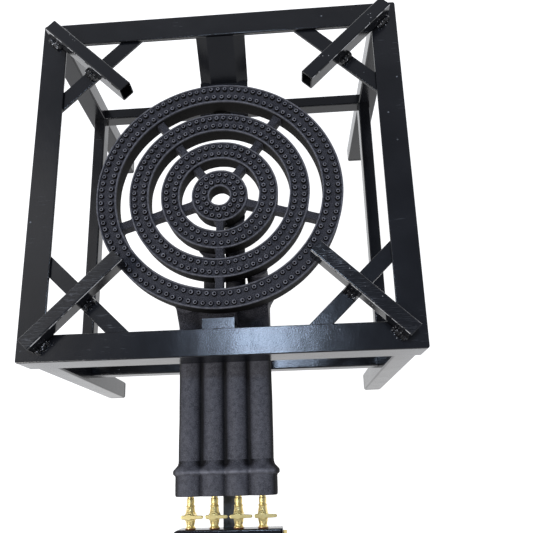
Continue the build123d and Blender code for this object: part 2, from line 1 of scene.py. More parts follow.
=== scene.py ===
"""Four-ring cast-iron gas burner in a welded square stand, with four brass taps on a gas rail.

Meshes are worked out in millimetres about the stand's centre, which lies 100 mm behind the
frame's origin, and written in metres in the frame's own axes."""

import bmesh
import bpy
import numpy as np
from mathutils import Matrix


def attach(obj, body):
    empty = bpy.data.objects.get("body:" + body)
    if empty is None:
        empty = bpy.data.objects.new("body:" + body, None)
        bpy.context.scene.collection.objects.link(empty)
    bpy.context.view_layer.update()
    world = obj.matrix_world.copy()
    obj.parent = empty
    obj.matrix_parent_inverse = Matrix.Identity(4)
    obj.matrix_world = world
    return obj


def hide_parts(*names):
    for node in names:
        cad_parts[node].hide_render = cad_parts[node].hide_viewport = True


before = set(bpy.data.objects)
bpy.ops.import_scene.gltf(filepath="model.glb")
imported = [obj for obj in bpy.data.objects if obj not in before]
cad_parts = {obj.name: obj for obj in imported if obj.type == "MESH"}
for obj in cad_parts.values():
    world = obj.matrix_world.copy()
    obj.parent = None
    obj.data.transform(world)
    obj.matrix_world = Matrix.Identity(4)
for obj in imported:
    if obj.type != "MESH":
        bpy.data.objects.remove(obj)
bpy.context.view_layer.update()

# Room: a wide white floor under pale studio light, seen from almost overhead at the tap side.
# A cool panel hangs behind the stand and leaves its patch on the front flange; softer, warmer
# ones light the burner from the left and the front.
scene = bpy.context.scene
scene.view_settings.view_transform = "Standard"

camera = bpy.data.objects.new("camera", bpy.data.cameras.new("camera"))
camera.location = (0.07203, -0.2339, 0.7454)
camera.rotation_euler = (0.2208, 0.0548, -0.0250)
camera.data.sensor_width = 36.0
camera.data.lens = 32.74899
camera.data.shift_x = 0.0025
camera.data.shift_y = 0.1831
camera.data.clip_start = 0.01
scene.collection.objects.link(camera)
scene.camera = camera

floor_half, floor_drop = 6.0, 0.0006
floor_mesh = bpy.data.meshes.new("floor")
floor_mesh.from_pydata(
    [(-floor_half, -floor_half, -floor_drop), (floor_half, -floor_half, -floor_drop),
     (floor_half, floor_half, -floor_drop), (-floor_half, floor_half, -floor_drop)], [], [(0, 1, 2, 3)])
floor = bpy.data.objects.new("floor", floor_mesh)
scene.collection.objects.link(floor)
floor_paint = bpy.data.materials.new("white_floor")
floor_paint.use_nodes = True
floor_shader = floor_paint.node_tree.nodes["Principled BSDF"]
floor_shader.inputs["Base Color"].default_value = (0.35, 0.35, 0.36, 1)
floor_shader.inputs["Roughness"].default_value = 0.9
floor_shader.inputs["Emission Color"].default_value = (1, 1, 1, 1)
floor_shader.inputs["Emission Strength"].default_value = 1.0
floor_mesh.materials.append(floor_paint)

world = bpy.data.worlds.new("studio")
scene.world = world
world.use_nodes = True
sky = world.node_tree.nodes
sky_links = world.node_tree.links
sky_place = sky.new("ShaderNodeTexCoord")
sky_split = sky.new("ShaderNodeSeparateXYZ")
sky_ramp = sky.new("ShaderNodeValToRGB")
sky_ramp.color_ramp.elements[0].position = 0.22
sky_ramp.color_ramp.elements[0].color = (0.60, 0.61, 0.63, 1)
sky_ramp.color_ramp.elements[1].position = 0.85
sky_ramp.color_ramp.elements[1].color = (0.16, 0.175, 0.215, 1)
sky_links.new(sky_place.outputs["Generated"], sky_split.inputs[0])
sky_links.new(sky_split.outputs["Z"], sky_ramp.inputs["Fac"])
sky_links.new(sky_ramp.outputs["Color"], sky["Background"].inputs["Color"])
sky["Background"].inputs["Strength"].default_value = 1.0


def panel(name, place, aim, size, power, colour):
    """A square soft light at place, turned towards aim."""
    light = bpy.data.lights.new(name, "AREA")
    light.shape, light.size, light.energy, light.color = "SQUARE", size, power, colour
    holder = bpy.data.objects.new(name, light)
    holder.location = place
    direction = np.subtract(aim, place)
    yaw = np.arctan2(direction[1], direction[0])
    pitch = np.arctan2(np.hypot(direction[0], direction[1]), -direction[2])
    holder.rotation_euler = (pitch, 0, yaw - np.pi / 2)
    scene.collection.objects.link(holder)


panel("back_panel", (-0.06, 0.50, 2.30), (0, 0, 0.2), 0.32, 10.0, (0.60, 0.75, 1.0))
panel("side_panel", (-1.3, -0.6, 1.9), (0, -0.1, 0.2), 0.6, 20, (1.0, 0.98, 0.95))
panel("left_panel", (-1.5, 0.9, 2.0), (0, 0, 0.2), 1.3, 3, (1.0, 0.98, 0.95))
panel("front_panel", (0.9, -1.6, 1.6), (0, 0, 0.2), 1.2, 4, (1.0, 0.99, 0.98))


# Top frame: 30 mm angle iron cut on the mitre, welded at the corners and ground flush, then
# brushed with gloss black enamel. The flange lies inwards on top and the web hangs outside.
class Reading:
    """A number that changes over a surface: arithmetic on it adds Math nodes to its finish."""

    def __init__(self, finish, socket):
        self.finish, self.socket = finish, socket

    def __add__(self, other):
        return self.finish.math("ADD", self, other)

    __radd__ = __add__

    def __sub__(self, other):
        return self.finish.math("SUBTRACT", self, other)

    def __rsub__(self, other):
        return self.finish.math("SUBTRACT", other, self)

    def __mul__(self, other):
        return self.finish.math("MULTIPLY", self, other)

    __rmul__ = __mul__

    def __abs__(self):
        return self.finish.math("ABSOLUTE", self)

    def band(self, low, high):
        """0 below low and 1 above high, smooth between; the other way up if low is above high."""
        return self.finish.node(
            "MapRange", {"interpolation_type": "SMOOTHSTEP"},
            {"Value": self, "From Min": low, "From Max": high})


class Finish:
    """One material: a Principled shader, and methods that add nodes read in Object coordinates."""

    def __init__(self, name, colour, roughness, **fixed):
        self.material = bpy.data.materials.new(name)
        self.material.use_nodes = True
        self.tree = self.material.node_tree
        self.shader = self.tree.nodes["Principled BSDF"]
        self.place = self.node("TexCoord", {}, {}, "Object")
        self.normal = None
        self.feed("Base Color", (*colour, 1))
        self.feed("Roughness", roughness)
        for socket, value in fixed.items():
            self.feed(socket.replace("_", " ").title().replace("Ior", "IOR"), value)

    def node(self, kind, settings, inputs, output=0):
        """A node of a type, with its settings first and then its sockets' values or links."""
        made = self.tree.nodes.new("ShaderNode" + kind)
        for key, value in settings.items():
            if key == "stops":
                for element, (position, colour) in zip(made.color_ramp.elements, value):
                    element.position, element.color = position, colour
            else:
                setattr(made, key, value)
        for key, value in inputs.items():
            if isinstance(value, Reading):
                self.tree.links.new(value.socket, made.inputs[key])
            else:
                made.inputs[key].default_value = value
        return Reading(self, made.outputs[output])

    def math(self, operation, *values):
        return self.node("Math", {"operation": operation}, dict(enumerate(values)))

    def feed(self, socket, value):
        """Set a socket of the shader, or link a reading to it."""
        if isinstance(value, Reading):
            self.tree.links.new(value.socket, self.shader.inputs[socket])
        else:
            self.shader.inputs[socket].default_value = value

    def axis(self, letter):
        return self.node("SeparateXYZ", {}, {"Vector": self.place}, letter)

    def noise(self, scale, detail=3.0, stretch=(1, 1, 1), turn=0.0, shift=0.0):
        """Cloudy variation from 0 to 1 about 0.5; its grain is about 1 / scale metres."""
        place = self.node("Mapping", {}, {
            "Vector": self.place, "Rotation": (0, 0, turn), "Scale": stretch, "Location": (shift,) * 3})
        return self.node("TexNoise", {}, {"Vector": place, "Scale": scale, "Detail": detail})

    def spots(self, scale, size, shift=0.0):
        """1 inside small scattered spots, 0 outside: distance to the nearest of random points."""
        place = self.node("Mapping", {}, {"Vector": self.place, "Location": (shift,) * 3})
        away = self.node("TexVoronoi", {}, {"Vector": place, "Scale": scale}, "Distance")
        return away.band(size, size * 0.5)

    def tint(self, mask, low, high):
        """A colour that goes from low to high with the mask; either may be a reading."""
        low, high = (c if isinstance(c, Reading) else (*c, 1) for c in (low, high))
        return self.node("Mix", {"data_type": "RGBA"}, {0: mask, 6: low, 7: high}, 2)

    def relief(self, height, depth):
        """Raise the surface by height times depth, in metres, over any relief already there."""
        inputs = {"Height": height, "Distance": depth, "Strength": 1.0}
        if self.normal is not None:
            inputs["Normal"] = self.normal
        self.normal = self.node("Bump", {}, inputs)
        self.feed("Normal", self.normal)


def enamel(name, wear=0.0):
    """Gloss black enamel: brushed and slightly rippled, with dust nibs and fine scuffs."""
    paint = Finish(name, (0.006, 0.0065, 0.008), 0.2, specular_ior_level=0.6)
    cloud = paint.noise(14.0)
    scuffs = paint.noise(60.0, 6.0, (1, 7, 1), 0.5).band(0.60, 0.74) * cloud.band(0.50, 0.66)
    nibs = paint.spots(55.0, 0.075) * paint.noise(9.0, shift=4.0).band(0.46, 0.60)
    marks = scuffs * (0.25 + wear) + nibs
    dark = paint.tint(cloud.band(0.35, 0.7), (0.004, 0.0044, 0.0062), (0.0085, 0.009, 0.0115))
    paint.feed("Base Color", paint.tint(marks, dark, (0.16, 0.17, 0.19)))
    paint.feed("Roughness", 0.16 + 0.08 * cloud + 0.30 * marks)
    paint.relief(paint.noise(38.0, 1.0, shift=2.0), 0.00030)
    paint.relief(paint.noise(700.0, 1.5), 0.000075)
    paint.relief(nibs, 0.00006)
    return paint.material


black_enamel = enamel("gloss_black_enamel")


def rounded(corners, radii, steps=5):
    """A polygon with rounded corners: from one tangent point of each corner to the other, points
    follow the circle that touches both sides, by blending the two radius vectors along the arc.
    One more point just past each tangent point keeps the flat side's shading flat."""
    at = np.asarray(corners, float)
    radius = np.broadcast_to(np.asarray(radii, float), len(at))[:, None]
    back, on = np.roll(at, 1, 0) - at, np.roll(at, -1, 0) - at
    back /= np.linalg.norm(back, axis=1, keepdims=True)
    on /= np.linalg.norm(on, axis=1, keepdims=True)
    half = np.arccos(np.clip((back * on).sum(1, keepdims=True), -1, 1)) / 2
    middle = back + on
    centre = at + middle / np.linalg.norm(middle, axis=1, keepdims=True) * radius / np.sin(half)
    start = at + back * radius / np.tan(half) - centre
    end = at + on * radius / np.tan(half) - centre
    sweep = (np.pi - 2 * half)[:, None]
    share = np.linspace(0, 1, steps)[None, :, None]
    arc = np.sin((1 - share) * sweep) * start[:, None] + np.sin(share * sweep) * end[:, None]
    arc = centre[:, None] + arc / np.sin(sweep)
    margin = 0.04 * radius[:, None]
    before, after = arc[:, :1] + margin * back[:, None], arc[:, -1:] + margin * on[:, None]
    return np.concatenate([before, arc, after], 1).reshape(-1, 2)


def inset(outline, distance):
    """The outline moved inwards along its normals by distance, for a counter-clockwise outline."""
    along = np.roll(outline, -1, 0) - np.roll(outline, 1, 0)
    along /= np.maximum(np.linalg.norm(along, axis=1, keepdims=True), 1e-9)
    return outline + distance * np.stack([-along[:, 1], along[:, 0]], 1)


def skin(rows, loop=False, caps=True):
    """Quads between neighbouring rows of points, each row a closed ring. With loop the last row
    meets the first, as on a hollow body; otherwise flat caps close the two ends."""
    count, around = rows.shape[:2]
    index = np.arange(count * around).reshape(count, around)
    index = np.concatenate([index, index[:1]]) if loop else index
    low, high = index[:-1], index[1:]
    quads = np.stack([low, np.roll(low, -1, 1), np.roll(high, -1, 1), high], 2).reshape(-1, 4)
    ends = [] if loop or not caps else [index[0].tolist(), index[-1].tolist()]
    return rows.reshape(-1, 3), quads.tolist() + ends


def slab(outline, low, high, edge, steps=4):
    """A plate: the outline carried from low to high, its edges rounded by a quarter circle, so
    a row at angle a lies edge * (1 - cos a) inside the outline and edge * (1 - sin a) from the face."""
    turn = np.linspace(0, np.pi / 2, steps)
    past = [-0.05]
    inwards = edge * (1 - np.concatenate([past, np.sin(turn), np.sin(turn[::-1]), past]))
    fall = edge * (1 - np.cos(turn))
    height = np.concatenate([[low], low + fall, high - fall[::-1], [high]])
    rows = [np.column_stack([inset(outline, d), np.full(len(outline), z)]) for d, z in zip(inwards, height)]
    return skin(np.array(rows))


def lathe(profile, segments=48, loop=False):
    """A turned body: each (radius, height) point of the profile becomes a circle about Z."""
    angle = np.linspace(0, 2 * np.pi, segments, endpoint=False)
    radius, height = np.asarray(profile, float).T
    rows = np.stack([np.outer(radius, np.cos(angle)), np.outer(radius, np.sin(angle)),
                     np.outer(height, np.ones(segments))], 2)
    return skin(rows, loop)


def placed(shell, origin, x=(1, 0, 0), y=(0, 1, 0), z=(0, 0, 1)):
    """The shell moved into another frame: origin plus each coordinate times its direction."""
    points, faces = shell
    return np.asarray(origin, float) + points @ np.array([x, y, z], float), faces


def about_z(shell, degrees):
    """The shell turned about the stand's vertical centre line."""
    c, s = np.cos(np.radians(degrees)), np.sin(np.radians(degrees))
    return placed(shell, (0, 0, 0), (c, s, 0), (-s, c, 0))


def make(name, shells, material, slot, *nodes, body="stand", crisp=32.0, marks=None):
    """One piece from its closed shells, in metres: doubles merged, faces outwards, smooth but for
    edges sharper than crisp degrees. marks names float attributes given point by point."""
    points = (np.concatenate([p for p, _ in shells]) + (0, stand_y, 0)) / 1000
    starts = np.cumsum([0] + [len(p) for p, _ in shells[:-1]])
    faces = [[v + int(start) for v in face] for start, (_, group) in zip(starts, shells) for face in group]
    mesh = bpy.data.meshes.new(name)
    mesh.from_pydata(points.tolist(), [], faces)
    for mark, values in (marks or {}).items():
        mesh.attributes.new(mark, "FLOAT", "POINT").data.foreach_set("value", np.asarray(values, np.float32))
    work = bmesh.new()
    work.from_mesh(mesh)
    bmesh.ops.remove_doubles(work, verts=work.verts, dist=2e-6)
    bmesh.ops.dissolve_degenerate(work, edges=work.edges, dist=1e-7)
    bmesh.ops.recalc_face_normals(work, faces=work.faces)
    work.to_mesh(mesh)
    work.free()
    mesh.shade_smooth()
    mesh.set_sharp_from_angle(angle=np.radians(crisp))
    mesh.materials.append(material)
    piece = bpy.data.objects.new(name, mesh)
    scene.collection.objects.link(piece)
    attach(piece, body)
    if nodes:
        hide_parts(*nodes)
    return piece


stand_y = 100.0
sides = {"front": 0, "right": 90, "back": 180, "left": 270}
half_side, top, leg_width, thickness = 215.0, 265.0, 30.0, 3.0
angle_section = rounded(
    [(0, top - leg_width), (thickness, top - leg_width), (thickness, top - thickness),
     (leg_width, top - thickness), (leg_width, top), (0, top)],
    [0.9, 1.3, 2.6, 1.3, 0.9, 1.1])


def mitred_side():
    """One angle of the frame: a section point d from the outer face runs straight until 3 mm or d
    from the corner, then turns 45 degrees about the corner's centre to reach the mitre plane."""
    deep, height = angle_section.T
    corner = thickness
    turn = np.radians(np.linspace(0, 45, 5))[:, None]
    straight = half_side - np.maximum(corner, deep)
    radius = np.maximum(corner - deep, 0)
    along = straight + radius * np.sin(turn)
    across = -straight - radius * np.cos(turn)
    runs = np.linspace(-1, 1, 21)[:, None] * straight
    level = np.tile(-half_side + deep, (len(runs), 1))
    x = np.concatenate([-along[::-1], runs, along])
    y = np.concatenate([across[::-1], level, across])
    return skin(np.stack([x, y, np.broadcast_to(height, x.shape)], 2))


for side, turn in sides.items():
    make(f"frame_angle_{side}", [about_z(mitred_side(), turn)], black_enamel, "black_paint",
         f"top_frame_{side}")


# Legs: 25 mm square tube, enamelled, standing under the corners of the frame and welded to both
# webs. Each foot is closed by a moulded black plastic plug with a soft rim.
def tube_run(size, wall, corner, length, steps=5, stations=2):
    """A square tube along its own X: the outer ring of points runs out, the inner one comes back,
    and the last row meets the first, so the cut ends show the wall. The rims are eased by 0.3 mm."""
    half, ease = size / 2, 0.3
    outer = rounded([(-half, -half), (half, -half), (half, half), (-half, half)], corner, steps)
    inner = outer * (half - wall) / half
    run = np.linspace(ease, length - ease, stations)
    rings = [(inset(outer, ease), 0)] + [(outer, s) for s in run] + [(inset(outer, ease), length)]
    rings += [(inner, length), (inner, 0)]
    rows = [np.column_stack([np.full(len(outer), s), ring]) for ring, s in rings]
    return skin(np.array(rows), loop=True)


corners = {"front_left": 225, "front_right": 315, "back_right": 45, "back_left": 135}
leg_centre, leg_size, leg_corner, foot_height, leg_length = 199.5, 25, 1.9, 5, 257
stock_wall, bar_size, bar_corner = 1.5, 16, 1.7
for corner, turn in corners.items():
    cx, cy = leg_centre * np.sign(np.round([np.cos(np.radians(turn)), np.sin(np.radians(turn))], 3))
    leg = tube_run(leg_size, stock_wall, leg_corner, leg_length)
    leg = placed(leg, (cx, cy, foot_height), (0, 0, 1), (1, 0, 0), (0, 1, 0))
    make(f"leg_tube_{corner}", [leg], black_enamel, "black_paint", f"leg_{corner}")

plastic = Finish("moulded_black_plastic", (0.018, 0.019, 0.021), 0.48)
plastic_cloud = plastic.noise(30.0)
plastic.feed("Base Color", plastic.tint(plastic_cloud, (0.012, 0.013, 0.015), (0.032, 0.034, 0.038)))
plastic.feed("Roughness", 0.36 + 0.2 * plastic_cloud)
plastic.relief(plastic.noise(1800.0, 2.0), 0.00003)
foot_outline = rounded([(-12.5, -12.5), (12.5, -12.5), (12.5, 12.5), (-12.5, 12.5)], 3.0, 7)
stub_outline = rounded([(-10.7, -10.7), (10.7, -10.7), (10.7, 10.7), (-10.7, 10.7)], 1.0, 4)
plugs = []
for hand_x in (-1, 1):
    for hand_y in (-1, 1):
        for outline, low, high, edge in ((foot_outline, 0, foot_height, 1.2), (stub_outline, 4.5, 17, 0.6)):
            centre = (hand_x * leg_centre, hand_y * leg_centre, 0)
            plugs.append(placed(slab(outline, low, high, edge), centre))
make("foot_plugs", plugs, plastic.material, "black_plastic", "leg_end_plugs")


# Lower rails: 16 mm square tube, enamelled, cut square and welded between the legs, level with
# their inner faces, half way down the stand.
rail_half, rail_line, rail_level = 187, -195, 127
for side, turn in sides.items():
    rail = tube_run(bar_size, stock_wall, bar_corner, 2 * rail_half)
    rail = placed(rail, (-rail_half, rail_line, rail_level))
    make(f"lower_rail_tube_{side}", [about_z(rail, turn)], black_enamel, "black_paint", f"lower_rail_{side}")


# Corner braces: 18 x 3 mm flat bar, enamelled, cut square and welded across each corner under
# the flanges, where it carries the inner half of a pot support.
brace_centre, brace_half, brace_low, brace_top = 206.5, 80, 259, 262
flat_section = rounded([(-9, brace_low), (9, brace_low), (9, brace_top), (-9, brace_top)], 0.7)
for corner, turn in corners.items():
    reach = np.linspace(-brace_half, brace_half, 3)
    rows = np.array([np.column_stack([brace_centre + flat_section[:, 0], np.full(len(flat_section), s),
                                      flat_section[:, 1]]) for s in reach])
    make(f"brace_bar_{corner}", [about_z(skin(rows), turn)], black_enamel, "black_paint",
         f"corner_brace_{corner}")


# Pot supports: 16 mm square tube laid on the diagonals over the frame corners and the braces,
# open at both cut ends. Stacking and pots have scuffed the enamel on top and along the edges.
wear_and_painted_highlight = Finish("scuffed_black_enamel", (0.02, 0.02, 0.022), 0.3, specular_ior_level=0.6)
worn_x, worn_y, worn_z = wear_and_painted_highlight.axis("X"), wear_and_painted_highlight.axis("Y") - stand_y / 1000, wear_and_painted_highlight.axis("Z")
sideways = abs(abs(worn_x) - abs(worn_y))
on_top = worn_z.band(0.2796, 0.2806)
streaks = wear_and_painted_highlight.noise(90.0, 8.0, (1, 22, 1)).band(0.54, 0.66)
mottle = wear_and_painted_highlight.noise(260.0, 6.0).band(0.44, 0.74)
patches = wear_and_painted_highlight.noise(22.0, 3.0, shift=1.7).band(0.38, 0.62)
rubbed = on_top * (streaks * 0.6 + mottle * 0.10) * (0.2 + 0.8 * patches) * worn_y.band(0.02, -0.08)
rim_line = sideways.band(0.0104, 0.0111) * worn_z.band(0.2793, 0.2801)
rim_line = rim_line * wear_and_painted_highlight.noise(90.0, 4.0).band(0.40, 0.52)
spatter = wear_and_painted_highlight.spots(160.0, 0.16) * wear_and_painted_highlight.noise(25.0, shift=3.0).band(0.50, 0.60)
base = wear_and_painted_highlight.tint(wear_and_painted_highlight.noise(18.0), (0.005, 0.0054, 0.007), (0.010, 0.0105, 0.013))
grey = wear_and_painted_highlight.tint(rubbed, base, (0.15, 0.155, 0.17))
wear_and_painted_highlight.feed("Base Color", wear_and_painted_highlight.tint((rim_line + 0.5 * spatter).band(0.1, 0.9), grey, (0.62, 0.62, 0.63)))
wear_and_painted_highlight.feed("Roughness", 0.15 + 0.35 * rubbed + 0.2 * rim_line)
wear_and_painted_highlight.feed("Metallic", 0.35 * rim_line)
wear_and_painted_highlight.relief(wear_and_painted_highlight.noise(38.0, 1.0), 0.00012)
wear_and_painted_highlight.relief(rubbed * mottle, 0.00005)
support_inner, tip_gap = 147.8, 22
support_outer = half_side * np.sqrt(2) - tip_gap
support_level = top + bar_size / 2
for corner, turn in corners.items():
    tube = tube_run(bar_size, stock_wall, bar_corner, support_outer - support_inner)
    tube = placed(tube, (support_inner, 0, support_level))
    make(f"pot_support_tube_{corner}", [about_z(tube, turn)], wear_and_painted_highlight.material, "black_paint",
         f"pot_support_{corner}")


# Weld beads: short arc-weld runs where each pot support crosses its brace and frame corner,
# painted over, lumpy, with a few balls of spatter that catch the light.
rng = np.random.default_rng(7)
weld = Finish("painted_weld", (0.008, 0.008, 0.010), 0.2, specular_ior_level=0.7)
# Pale spots painted on the bead stand in for glints: a painted highlight.
painted_weld_glints = weld.spots(380.0, 0.30) * weld.noise(130.0).band(0.42, 0.50)
weld.feed("Base Color", weld.tint(painted_weld_glints, (0.006, 0.006, 0.008), (0.75, 0.76, 0.80)))
weld.feed("Roughness", 0.12 + 0.25 * weld.noise(200.0))
weld.relief(weld.noise(700.0, 3.0), 0.00035)


def weld_bead(start, length, hand, foot, rise):
    """A bead along X in the inside corner of a wall and a floor: a quarter-round fillet whose
    reach swells by about a fifth with every ripple, rounded off over the last 2 mm of each end."""
    spread, sunk = 4.6, 1.0
    along = np.linspace(0, 1, 34)[:, None]
    phase = rng.uniform(0, 6)
    ripple = 1 + 0.13 * np.sin(along * length * 2.6 + phase) + 0.10 * np.sin(along * length * 0.9 + 2 * phase)
    close = np.sqrt(np.clip(np.minimum(along, 1 - along) * length / 2.0, 0.02, 1))
    size = ripple * close
    turn = np.radians(np.linspace(0, 90, 7))[None, :]
    bulge = 1 + 0.16 * np.sin(2 * turn)
    y = bar_size / 2 + spread * size * np.cos(turn) * bulge
    z = foot + rise * size * np.sin(turn) * bulge
    back_y, back_z = np.full_like(along, bar_size / 2 - sunk), np.full_like(along, foot - 0.8)
    y = np.concatenate([back_y, y, back_y], 1)
    z = np.concatenate([back_z, z, z[:, -1:]], 1)
    x = np.broadcast_to(start + along * length, y.shape)
    return skin(np.stack([x, hand * y, z], 2))


def ball(centre, radius):
    """A drop of spatter: a low dome of revolution sunk a little in the surface."""
    lean = np.linspace(-0.45, 1, 5) * np.pi / 2
    return placed(lathe(np.column_stack([np.cos(lean), np.sin(lean)]) * radius, 8), centre)


beads = []
for turn in corners.values():
    for start, length, foot, rise in ((197.5, 18, brace_top, 5.6), (262, 20, top, 3.6)):
        for hand in (-1, 1):
            beads.append(about_z(weld_bead(start, length, hand, foot, rise), turn))
            for x, y, size in rng.uniform((start - 3, 13.5, 0.35), (start + length + 3, 15, 0.7), (5, 3)):
                level = foot if foot == top or abs(x - brace_centre) < 8.6 else None
                if level is not None and x < 281:
                    beads.append(about_z(ball((x, hand * y, level), size), turn))
make("support_weld_beads", beads, weld.material, "weld_paint", "pot_support_welds", crisp=50)


# Burner rings: four sand-cast iron troughs, each a little lower than the one outside it, with a
# narrow rounded rim left standing round the cover plate. The outer ring has a lug at the back.
iron = Finish("sand_cast_iron", (0.03, 0.03, 0.033), 0.7, specular_ior_level=0.08)
iron_cloud = iron.noise(26.0, 4.0)
iron_grain = iron.noise(1150.0, 4.0)
iron_lumps = iron.noise(210.0, 3.0)
# Painted light from two point attributes: one lifts rims, boss crowns, tube crests and the bell lip towards
# pale grey, a painted highlight; depth takes walls, boss flanks and feet, ports, tube sides and valleys and
# the lug towards near black, a painted shade.
iron_highlight_mark = iron.node("Attribute", {"attribute_name": "wear_and_painted_highlight"}, {}, "Fac")
iron_pores = iron.spots(300.0, 0.17) * iron.noise(60.0, shift=2.0).band(0.5, 0.62)
iron_shade_depth = iron.node("Attribute", {"attribute_name": "depth"}, {}, "Fac")
iron_dark = iron.tint(iron_cloud.band(0.35, 0.65), (0.016, 0.016, 0.0195), (0.027, 0.027, 0.032))
iron_body = iron.tint(iron_grain.band(0.40, 0.70) * 0.75, iron_dark, (0.115, 0.115, 0.136))
iron_painted_highlight = iron.tint(iron_highlight_mark * (0.55 + 0.45 * iron_lumps.band(0.35, 0.6)), iron_body, (0.23, 0.23, 0.26))
iron_pitted = iron.tint(iron_pores * 0.7, iron_painted_highlight, (0.010, 0.009, 0.009))
iron_painted_shade = iron.tint(iron_cloud, (0.0035, 0.0033, 0.0035), (0.010, 0.0092, 0.0088))
iron.feed("Base Color", iron.tint(iron_shade_depth.band(0.06, 0.30), iron_pitted, iron_painted_shade))
iron.feed("Roughness", 0.38 + 0.24 * iron_grain - 0.10 * iron_highlight_mark + 0.2 * iron_shade_depth.band(0.06, 0.30))
iron.relief(iron_lumps, 0.00028)
iron.relief(iron_grain, 0.00016)
iron.relief(iron_pores, -0.00012)

burner_y = -21.0
ring_sizes = {  # outer radius, inner radius, top, bosses in the outer row and in the inner row
    "outer": (140.5, 117.3, 258, 100, 90),
    "second": (103.3, 80.6, 255, 75, 65),
    "third": (67.4, 45.6, 252, 45, 40),
    "centre": (32.4, 11.9, 249, 20, 15),
}
ring_height, rim_width, plate_drop = 19.0, 2.0, 1.5
wall, ring_floor, ledge, draft = 4, 3, 5.5, 0.7
lug_y = 107.9


def wavy_ring(shell, size):
    """Cast walls are never quite round: every point moves in or out from the burner's axis by a
    fraction of a millimetre, a sum of three sine waves round the ring."""
    points, faces = shell
    angle = np.arctan2(points[:, 1], points[:, 0])
    shift = size * (np.sin(5 * angle + 1) + 0.6 * np.sin(11 * angle) + 0.5 * np.sin(23 * angle + 2)) / 2
    out = points[:, :2] / np.maximum(np.linalg.norm(points[:, :2], axis=1, keepdims=True), 1e-6)
    return np.column_stack([points[:, :2] + out * shift[:, None], points[:, 2]]), faces


for name, (outer, inner, ring_top, _, _) in ring_sizes.items():
    ring_bottom, ring_ledge = ring_top - ring_height, ring_top - ledge
    trough = rounded(
        [(inner + draft, ring_bottom), (outer - draft, ring_bottom), (outer, ring_top),
         (outer - rim_width, ring_top), (outer - rim_width, ring_ledge), (outer - wall, ring_ledge),
         (outer - wall, ring_bottom + ring_floor), (inner + wall, ring_bottom + ring_floor),
         (inner + wall, ring_ledge), (inner + rim_width, ring_ledge), (inner + rim_width, ring_top),
         (inner, ring_top)],
        [2.0, 2.0, 0.95, 0.85, 0.4, 0.4, 0.8, 0.8, 0.4, 0.4, 0.85, 0.95])
    shells = [placed(wavy_ring(lathe(trough, 180, loop=True), 0.16), (0, burner_y, 0))]
    # Painted light: the top 1.2 mm of the rim is painted paler as a highlight, and the depth mark paints the
    # walls and the whole lug dark as shade.
    below = (ring_top - shells[0][0][:, 2]) / 10
    rim_painted_highlight = np.clip(1.2 - 10 * below, 0, 1) * 0.55
    if name == "outer":
        lug = lathe([(0, 225), (9.8, 225), (11, 226.2), (11, 236), (14, 240), (0, 240)], 32)
        shells.append(placed(lug, (0, lug_y, 0)))
        rim_painted_highlight = np.concatenate([rim_painted_highlight, np.zeros(len(lug[0]))])
        below = np.concatenate([below, np.ones(len(lug[0]))])
    make(f"cast_ring_{name}", shells, iron.material, "cast_iron", f"burner_ring_{name}",
         marks={"wear_and_painted_highlight": rim_painted_highlight, "depth": below})


# Ring covers: annular cast-iron plates pressed into the rings, with two rows of raised bosses.
# Every boss is a stubby stud with a splayed foot, a little out of place, round a drilled flame port;
# its flank and foot are painted dark as shade and its crown pale as a highlight.
boss_profile = np.array([  # radius, height above the cover
    (3.35, -0.1), (2.95, 0.12), (2.66, 0.5), (2.5, 1.9), (2.25, 2.5), (1.85, 2.75), (1.35, 2.6), (1.15, 0.2)])
cover_inset, cover_thickness, row_inset = 2.1, 4.0, 6.2
# Per profile point, the first list paints the crown paler, a painted highlight, and the second paints the
# foot, flank and port dark, a painted shade.
boss_painted_highlight = np.array([0.0, 0.0, 0.0, 0.0, 0.5, 1.0, 0.7, 0.0])
boss_painted_shade = np.array([0.16, 0.34, 0.36, 0.34, 0.12, 0.0, 0.08, 0.6])


def boss_row(radius, count, level):
    """Bosses on a circle: boss k stands at angle 2 pi k / count with up to 0.4 mm of error, and
    its profile is turned about its own axis in twelve steps, its port set off by up to 0.25 mm."""
    at = 2 * np.pi * np.arange(count) / count + rng.uniform(-0.4, 0.4, count) / radius
    off = radius + rng.uniform(-0.35, 0.35, count)
    centre = np.stack([off * np.cos(at), burner_y + off * np.sin(at)], 1)
    size, tall = rng.uniform(0.92, 1.06, count), rng.uniform(0.88, 1.04, count)
    drift = rng.uniform(-0.25, 0.25, (count, 2))
    turn = np.linspace(0, 2 * np.pi, 12, endpoint=False)
    shells, marks = [], []
    for k in range(count):
        wide = boss_profile[:, 0] * size[k]
        port = np.array([0, 0, 0, 0, 0, 0.4, 1, 1])[:, None]
        x = centre[k, 0] + np.outer(wide, np.cos(turn)) + port * drift[k, 0]
        y = centre[k, 1] + np.outer(wide, np.sin(turn)) + port * drift[k, 1]
        z = np.broadcast_to((level + boss_profile[:, 1] * tall[k])[:, None], x.shape)
        shells.append(skin(np.stack([x, y, z], 2)))
        marks.append(np.stack([np.repeat(boss_painted_highlight, 12), np.repeat(boss_painted_shade, 12)]))
    return shells, marks


